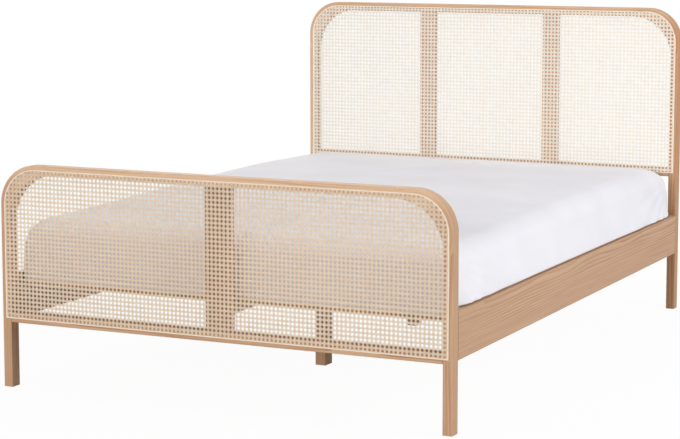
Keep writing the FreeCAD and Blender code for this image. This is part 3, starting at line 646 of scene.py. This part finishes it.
def cushion_levels(height, half_width):
    """From the bottom's middle up to the top's middle: how far in from the widest outline, and how high."""
    levels = []
    for inset in np.linspace(half_width, TURN_UNDER, BASE_STEPS):
        levels.append((inset, 0.0))
    for inset in np.linspace(TURN_UNDER, BOTTOM_EDGE, HEM_STEPS)[1:]:
        levels.append((inset, 0.0))
    for angle in np.linspace(0, math.pi / 2, BOTTOM_EDGE_STEPS)[1:]:
        levels.append((BOTTOM_EDGE * (1 - math.sin(angle)), BOTTOM_EDGE * (1 - math.cos(angle))))
    shoulder = height - CROWN - TOP_EDGE
    low_side = np.linspace(0, LOW_SIDE_SHARE, LOW_SIDE_STEPS)[1:]
    high_side = np.linspace(LOW_SIDE_SHARE, 1, HIGH_SIDE_STEPS)[1:]
    for share in np.concatenate((low_side, high_side)):
        levels.append((SIDE_DRAW * share * share, BOTTOM_EDGE + (shoulder - BOTTOM_EDGE) * share))
    for angle in np.linspace(0, math.pi / 2, TOP_EDGE_STEPS)[1:]:
        inset = SIDE_DRAW + TOP_EDGE - TOP_EDGE * math.cos(angle)
        levels.append((inset, shoulder + TOP_EDGE * math.sin(angle)))
    start = SIDE_DRAW + TOP_EDGE
    for inset in np.linspace(start, half_width, TOP_STEPS)[1:]:
        rise = math.sin(min((inset - start) / CROWN_RUN, 1.0) * math.pi / 2)
        levels.append((inset, height - CROWN + CROWN * rise))
    return levels


def loop_points(half_x, half_y, radius):
    """A rounded rectangle round the origin, always with the same number of points."""
    flat_x = half_x - radius
    flat_y = half_y - radius
    found = []
    sides = (
        ((flat_x, -half_y), (-flat_x, -half_y), (-flat_x, -flat_y), -90, STRAIGHT_ACROSS),
        ((-half_x, -flat_y), (-half_x, flat_y), (-flat_x, flat_y), -180, STRAIGHT_ALONG),
        ((-flat_x, half_y), (flat_x, half_y), (flat_x, flat_y), -270, STRAIGHT_ACROSS),
        ((half_x, flat_y), (half_x, -flat_y), (flat_x, -flat_y), -360, STRAIGHT_ALONG),
    )
    for start, end, middle, angle, steps in sides:
        for share in np.arange(steps) / steps:
            found.append((start[0] + (end[0] - start[0]) * share, start[1] + (end[1] - start[1]) * share))
        for step in range(ROUND_STEPS):
            turn = math.radians(angle - 90 * step / ROUND_STEPS)
            found.append((middle[0] + radius * math.cos(turn), middle[1] + radius * math.sin(turn)))
    return np.array(found)


def roll_over_rails(points, middle, half_y):
    """How far each point of the long sides swells out above the side rails."""
    above = points[:, 2] - RAIL_TOP
    full = ROLL_GAP + ROLL_RISE
    rolled = smooth(ROLL_GAP, full, above) * (1 - smooth(full, full + ROLL_FADE, above))
    from_end = half_y - np.abs(points[:, 1] - middle[1])
    return ROLL * rolled * smooth(0, ROLL_END, from_end) * np.sign(points[:, 0] - middle[0])


def cushion_mesh(name, low, high, levels):
    """A mesh through rounded outlines, one for each level, round the box from low to high."""
    middle = (np.array(low) + np.array(high)) / 2
    half_x = (high[0] - low[0]) / 2
    half_y = (high[1] - low[1]) / 2
    rings = []
    for inset, height in levels:
        room = half_x - inset
        raised = smooth(SOFT_FROM, SOFT_TO, height / (high[2] - low[2]))
        corner = LOW_CORNER + (TOP_CORNER - LOW_CORNER) * raised
        radius = min(corner, max(room, 0.0))
        ring = loop_points(room, half_y - inset, radius) + middle[:2]
        rings.append(np.column_stack((ring, np.full(len(ring), low[2] + height))))
    points = np.concatenate(rings)
    upper = smooth(SOFT_FROM, SOFT_TO, (points[:, 2] - low[2]) / (high[2] - low[2]))
    to_foot = 1 - smooth(low[1], low[1] + FOOT_DROOP_RUN, points[:, 1])
    to_head = smooth(high[1] - HEAD_DROOP_RUN, high[1], points[:, 1])
    points[:, 0] += roll_over_rails(points, middle, half_y)
    points[:, 2] -= upper * (FOOT_DROOP * to_foot + HEAD_DROOP * to_head)
    size = len(rings[0])
    faces = []
    for ring in range(len(rings) - 1):
        here = ring * size + np.arange(size)
        after = ring * size + (np.arange(size) + 1) % size
        faces.append(np.column_stack((here, here + size, after + size, after)))
    mesh = bpy.data.meshes.new(name)
    mesh.from_pydata(points.tolist(), [], np.concatenate(faces).tolist())
    shaped = bmesh.new()
    shaped.from_mesh(mesh)
    bmesh.ops.remove_doubles(shaped, verts=shaped.verts, dist=MERGE_REACH)
    bmesh.ops.recalc_face_normals(shaped, faces=shaped.faces)
    shaped.to_mesh(mesh)
    shaped.free()
    mesh.polygons.foreach_set("use_smooth", np.ones(len(mesh.polygons), dtype=bool))
    made = bpy.data.objects.new(name, mesh)
    scene.collection.objects.link(made)
    return made


def read_vectors(mesh, kind):
    """A row of three numbers for each vertex: its place (co) or its normal."""
    found = np.empty(len(mesh.vertices) * 3)
    mesh.vertices.foreach_get(kind, found)
    return found.reshape(-1, 3)


def soft_noise(points, scale, seed):
    """Smooth noise from -1 to 1 at each point."""
    shift = Vector([seed * step for step in SEED_SHIFT])
    return np.array([noise.noise(Vector(point * scale) + shift) for point in points])


def upward(wave):
    """A wave from -1 to 1, moved into 0 to 1."""
    return wave * 0.5 + 0.5


def ease_sheet(piece):
    """Soft unevenness on top, a swell low on the sides and folds that fan out below each corner."""
    mesh = piece.data
    points = read_vectors(mesh, "co")
    normals = read_vectors(mesh, "normal")
    normals[:, 2] = np.maximum(normals[:, 2], 0)
    low = np.array(SHEET_LOW)
    high = np.array(SHEET_HIGH)
    middle = (low + high) / 2
    height = (points[:, 2] - low[2]) / (high[2] - low[2])
    on_side = smooth(*SIDE_START, height) * (1 - smooth(*SIDE_END, height))
    on_top = smooth(*TOP_START, height)
    from_edge = high - middle - np.abs(points - middle)
    from_corner = np.maximum(from_edge[:, 0], from_edge[:, 1])
    near_corner = np.exp(-((from_corner / FOLD_REACH) ** 2)) * smooth(*FOLD_START, from_corner)
    slack = upward(soft_noise(points * SLACK_STRETCH, SLACK_SCALE, SLACK_SEED))
    drop = low[2] + (high[2] - low[2]) * FOLD_HUB - points[:, 2]
    wobble = FOLD_WOBBLE * soft_noise(points, WOBBLE_SCALE, WOBBLE_SEED)
    lean = np.arctan2(drop, from_corner) + wobble
    folds = upward(np.sin(lean * 2 * math.pi / FOLD_ANGLE))
    pulled = folds * near_corner * (1 - smooth(FOLD_FADE, FOLD_HUB, height))
    to_head = smooth(low[1], high[1], points[:, 1])
    side_depth = FOLD_DEPTH * (FOOT_FOLD_SHARE + (1 - FOOT_FOLD_SHARE) * to_head)
    fold_depth = END_FOLD_DEPTH + (side_depth - END_FOLD_DEPTH) * np.abs(normals[:, 0])
    swell = upward(soft_noise(points * SWELL_STRETCH, SWELL_SCALE, SWELL_SEED))
    move = on_side * (SIDE_SWELL + SIDE_SLACK * slack + fold_depth * pulled) + on_top * TOP_SWELL * swell
    mesh.vertices.foreach_set("co", (points + normals * move[:, None]).ravel())
    mesh.update()


THREAD_SCALE = 520.0
SLUB_SCALE = 160.0
SHADE_SCALE = 5.0


def cotton():
    """Plain white cotton with a fine weave."""
    shader = material_shader("white_cotton")
    place = shader.place(EVEN_SCALE)
    threads = []
    for way in "XY":
        bands = {"wave_type": "BANDS", "bands_direction": way}
        threads.append(shader.node("TexWave", bands, Vector=place, Scale=THREAD_SCALE).outputs[1])
    slub = shader.noise(place, SLUB_SCALE)
    height = shader.math("ADD", shader.mix_values(*threads, 0.5), slub)
    shade = shader.noise(place, SHADE_SCALE, detail=2.0)
    return shader.surface(
        Base_Color=shader.ramp(shade, (0.35, linear(231, 230, 235)), (0.65, linear(236, 235, 240))),
        Roughness=shader.grey(slub, low=0.72, high=0.84, start=0.3, end=0.7),
        Sheen_Weight=0.12,
        Sheen_Roughness=0.5,
        Normal=shader.bump(height, strength=0.06, distance=0.4 * MM),
    )


QUILT_SCALE = 42.0
QUILT_FULLNESS = 0.45
KNIT_SCALE = 700.0
KNIT_RELIEF = 0.08


def ticking():
    """The mattress's knitted cover, quilted in a plain diamond pattern."""
    shader = material_shader("knitted_cover")
    parts = shader.node("SeparateXYZ", Vector=shader.node("TexCoord").outputs["Object"])
    rising = shader.math("ADD", parts.outputs[0], parts.outputs[1])
    falling = shader.math("SUBTRACT", parts.outputs[0], parts.outputs[1])
    rows = [
        shader.math("ABSOLUTE", shader.math("SINE", shader.math("MULTIPLY", run, QUILT_SCALE)))
        for run in (rising, falling)
    ]
    puff = shader.math("POWER", shader.math("MULTIPLY", *rows), QUILT_FULLNESS)
    knit = shader.noise(shader.place(EVEN_SCALE), KNIT_SCALE, detail=2.0)
    height = shader.math("ADD", puff, shader.math("MULTIPLY", knit, KNIT_RELIEF))
    return shader.surface(
        Base_Color=shader.ramp(knit, (0.3, linear(226, 224, 220)), (0.7, linear(240, 238, 234))),
        Roughness=shader.grey(knit, low=0.80, high=0.92, start=0.3, end=0.7),
        Normal=shader.bump(height, strength=0.5, distance=4 * MM),
    )


def dress_mattress():
    levels = cushion_levels(MATTRESS_HIGH.z - MATTRESS_LOW.z, MATTRESS_HIGH.x)
    inner = cushion_mesh("mattress_body", MATTRESS_LOW, MATTRESS_HIGH, levels)
    inner.data.materials.append(ticking())
    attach(inner, "mattress")
    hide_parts("mattress")

    levels = cushion_levels(SHEET_HIGH.z - SHEET_LOW.z, SHEET_HIGH.x)
    levels = [(inset, height) for inset, height in levels if height > 0 or inset <= TURN_UNDER]
    cloth = cushion_mesh("fitted_sheet_cloth", SHEET_LOW, SHEET_HIGH, levels)
    ease_sheet(cloth)
    cloth.data.materials.append(cotton())
    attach(cloth, "mattress")
    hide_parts("fitted_sheet")


# Floor, backdrop and light
WHITE = (1, 1, 1, 1)
FLOOR_GREY = (0.8, 0.8, 0.8, 1)
FLOOR_HALF = 30.0
NEAR_WHITE = 0.96
NEAR_REACH = 1.2
FAR_REACH = 3.2
AMBIENT_COLOUR = (1.0, 0.985, 0.97, 1)
AMBIENT_STRENGTH = 0.2
LAMP_TARGET = (0, 0, 0.4)


def white_floor():
    """A white floor that keeps a soft shadow and reads as the photograph's white ground."""
    shader = material_shader("white_floor")
    matt = shader.node("BsdfDiffuse", Color=FLOOR_GREY)
    glow = shader.node("Emission", Color=WHITE, Strength=1.0)
    place = shader.node("TexCoord").outputs["Object"]
    away = shader.node("VectorMath", {"operation": "LENGTH"}, Vector=place).outputs["Value"]
    white = shader.grey(away, low=NEAR_WHITE, high=1.0, start=NEAR_REACH, end=FAR_REACH)
    return shader.blended_surface(shader.math("MULTIPLY", shader.seen(), white), matt, glow)


def add_floor():
    corners = [(-1, -1, 0), (1, -1, 0), (1, 1, 0), (-1, 1, 0)]
    mesh = bpy.data.meshes.new("floor")
    mesh.from_pydata([FLOOR_HALF * Vector(corner) for corner in corners], [], [(0, 1, 2, 3)])
    mesh.materials.append(white_floor())
    made = bpy.data.objects.new("floor", mesh)
    scene.collection.objects.link(made)


def add_backdrop():
    """A backdrop that is seen as white, and lights as a dim and slightly warm sky."""
    world = bpy.data.worlds.new("studio")
    shader = Shader(world, "OutputWorld")
    ambient = shader.node("Background", Color=AMBIENT_COLOUR, Strength=AMBIENT_STRENGTH)
    white = shader.node("Background", Color=WHITE, Strength=1.0)
    scene.world = shader.blended_surface(shader.seen(), ambient, white)
    scene.view_settings.view_transform = "Standard"


def add_lamp(name, place, size, power, colour):
    """A round soft light that is turned to the bed."""
    data = bpy.data.lights.new(name, "AREA")
    data.shape = "DISK"
    data.size = size
    data.energy = power
    data.color = colour
    made = bpy.data.objects.new(name, data)
    made.location = place
    heading = Vector(LAMP_TARGET) - Vector(place)
    made.rotation_euler = heading.to_track_quat("-Z", "Y").to_euler()
    scene.collection.objects.link(made)


# Camera at the photograph's viewing angle, in the photograph's pixels, sensor millimetres, metres and degrees
PHOTO_WIDTH = 680
FOCAL_PIXELS = 2124
OPTICAL_AXIS_ABOVE_CENTRE = 40
SENSOR_WIDTH = 36
CAMERA_PLACE = (2.884, -6.301, 1.414)
CAMERA_TILT_DOWN = 7.131
CAMERA_TURN = 25.449
CAMERA_REACH = 100


def add_camera():
    data = bpy.data.cameras.new("photo_camera")
    data.sensor_width = SENSOR_WIDTH
    data.lens = FOCAL_PIXELS / PHOTO_WIDTH * SENSOR_WIDTH
    data.shift_y = -OPTICAL_AXIS_ABOVE_CENTRE / PHOTO_WIDTH
    data.clip_end = CAMERA_REACH
    made = bpy.data.objects.new("photo_camera", data)
    made.location = CAMERA_PLACE
    made.rotation_euler = Euler((math.radians(90 - CAMERA_TILT_DOWN), 0, math.radians(CAMERA_TURN)), "XYZ")
    scene.collection.objects.link(made)
    scene.camera = made


# Dress everything
OWN_LOOKS = ("mattress", "fitted_sheet", "foot_cane", "head_cane", "foot_spline", "head_spline")
for node in nodes:
    if node not in OWN_LOOKS:
        paint(node, finish_of(node))
for end in CANE_SEEDS:
    dress_cane(end)
dress_mattress()
add_floor()
add_backdrop()
add_camera()
add_lamp("right_light", place=(6.0, -0.6, 3.0), size=3.0, power=245, colour=(0.98, 0.985, 1.0))
add_lamp("front_light", place=(-4.2, -25.5, 6.5), size=10.5, power=4100, colour=(1.0, 0.965, 0.91))
add_lamp("top_light", place=(0.0, 0.0, 6.0), size=4.0, power=68, colour=(0.95, 0.96, 1.0))
add_lamp("back_light", place=(-3.5, 5.5, 4.0), size=3.0, power=82, colour=(1.0, 1.0, 1.0))
